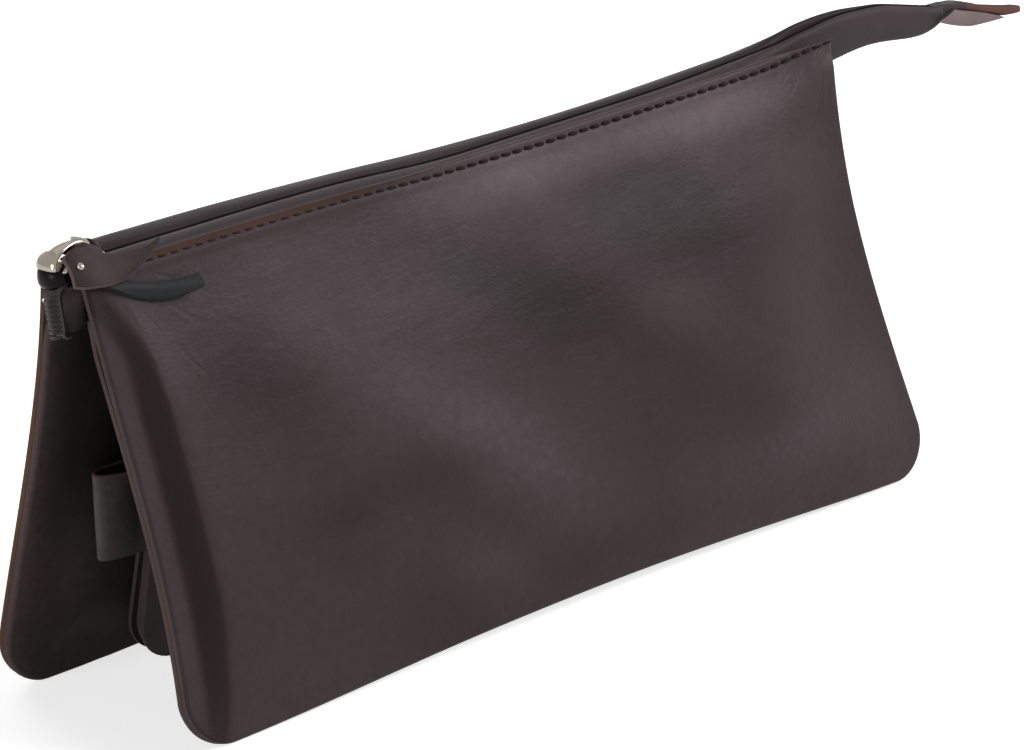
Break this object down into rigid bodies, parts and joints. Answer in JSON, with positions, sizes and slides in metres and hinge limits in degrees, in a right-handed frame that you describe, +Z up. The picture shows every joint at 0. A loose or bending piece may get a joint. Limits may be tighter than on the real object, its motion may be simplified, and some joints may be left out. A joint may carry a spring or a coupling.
{
  "type": "manicure set case",
  "caption": "Zipped leather pouch whose flat lobes hang saddle-fashion from a top zip, with a slim manicure tool wallet held between them by a leather keeper band.",
  "frame": {"origin": "centre of the bounding box's base, on the surface the pouch stands on", "axes": "+X along the zip from its closed end to the tail, +Y from the front lobe to the back lobe, +Z up"},
  "size_m": [0.252, 0.0556, 0.0895],
  "materials": {
    "panel_leather": "smooth, soft sheen, dark purple-brown",
    "facing_leather": "smooth, dark brown",
    "lining_leather": "matt, very dark brown",
    "tab_leather": "pale flesh side and brown face",
    "band_leather": "matt, raw tan edges",
    "thong_leather": "matt flesh side, dark grey-brown",
    "wallet_leather": "smooth, dark brown",
    "thread": "twisted dark thread",
    "zip_tape": "woven tape, near black",
    "zip_coil": "nylon coil",
    "slider_metal": "polished nickel",
    "spring_steel": "plain",
    "tool_steel": "satin"
  },
  "bodies": {
    "zip_top": {"front_facing": "facing_leather", "back_facing": "facing_leather", "front_zip_tape": "zip_tape", "back_zip_tape": "zip_tape", "front_zip_coil": "zip_coil", "back_zip_coil": "zip_coil", "zip_stops": "slider_metal", "ridge_strip": "lining_leather", "zip_end_tape": "zip_tape", "zip_end_teeth": "zip_coil", "tail_tab": "tab_leather"},
    "front_lobe": {"front_panel": "panel_leather", "front_inner_panel": "lining_leather", "front_seam_stitches": "thread"},
    "back_lobe": {"back_panel": "panel_leather", "back_inner_panel": "lining_leather", "back_seam_stitches": "thread", "keeper_band": "band_leather", "keeper_stitches": "thread"},
    "slider": {"slider_body": "slider_metal", "slider_crown": "slider_metal", "slider_lock_spring": "spring_steel"},
    "pull": {"thong_pull": "thong_leather", "thong_pin": "slider_metal"},
    "wallet": {"wallet_back": "wallet_leather", "wallet_front": "wallet_leather", "wallet_welt": "wallet_leather", "wallet_dividers": "wallet_leather"},
    "file": {"nail_file": "tool_steel"},
    "pusher": {"cuticle_pusher": "tool_steel"},
    "tweezer": {"tweezers": "tool_steel"}
  },
  "joints": [
    {"name": "front_lobe_hinge", "type": "hinge", "parent": "zip_top", "child": "front_lobe", "pos_m": [0, -0.0046, 0.0803], "axis": [1, 0, 0], "range_deg": [-20, 6]},
    {"name": "back_lobe_hinge", "type": "hinge", "parent": "zip_top", "child": "back_lobe", "pos_m": [0, 0.0046, 0.0803], "axis": [-1, 0, 0], "range_deg": [-20, 6]},
    {"name": "zip_slide", "type": "slide", "parent": "zip_top", "child": "slider", "axis": [1, 0, 0], "range_m": [0, 0.165]},
    {"name": "pull_swing", "type": "hinge", "parent": "slider", "child": "pull", "pos_m": [-0.11844, 0, 0.0866], "axis": [0, -1, 0], "range_deg": [0, 150]},
    {"name": "wallet_slide", "type": "slide", "parent": "back_lobe", "child": "wallet", "axis": [0, 0.2487, -0.9686], "range_m": [0, 0.04]},
    {"name": "file_slide", "type": "slide", "parent": "wallet", "child": "file", "axis": [1, 0, 0], "range_m": [0, 0.115]},
    {"name": "pusher_slide", "type": "slide", "parent": "wallet", "child": "pusher", "axis": [1, 0, 0], "range_m": [0, 0.11]},
    {"name": "tweezer_slide", "type": "slide", "parent": "wallet", "child": "tweezer", "axis": [1, 0, 0], "range_m": [0, 0.09]}
  ]
}
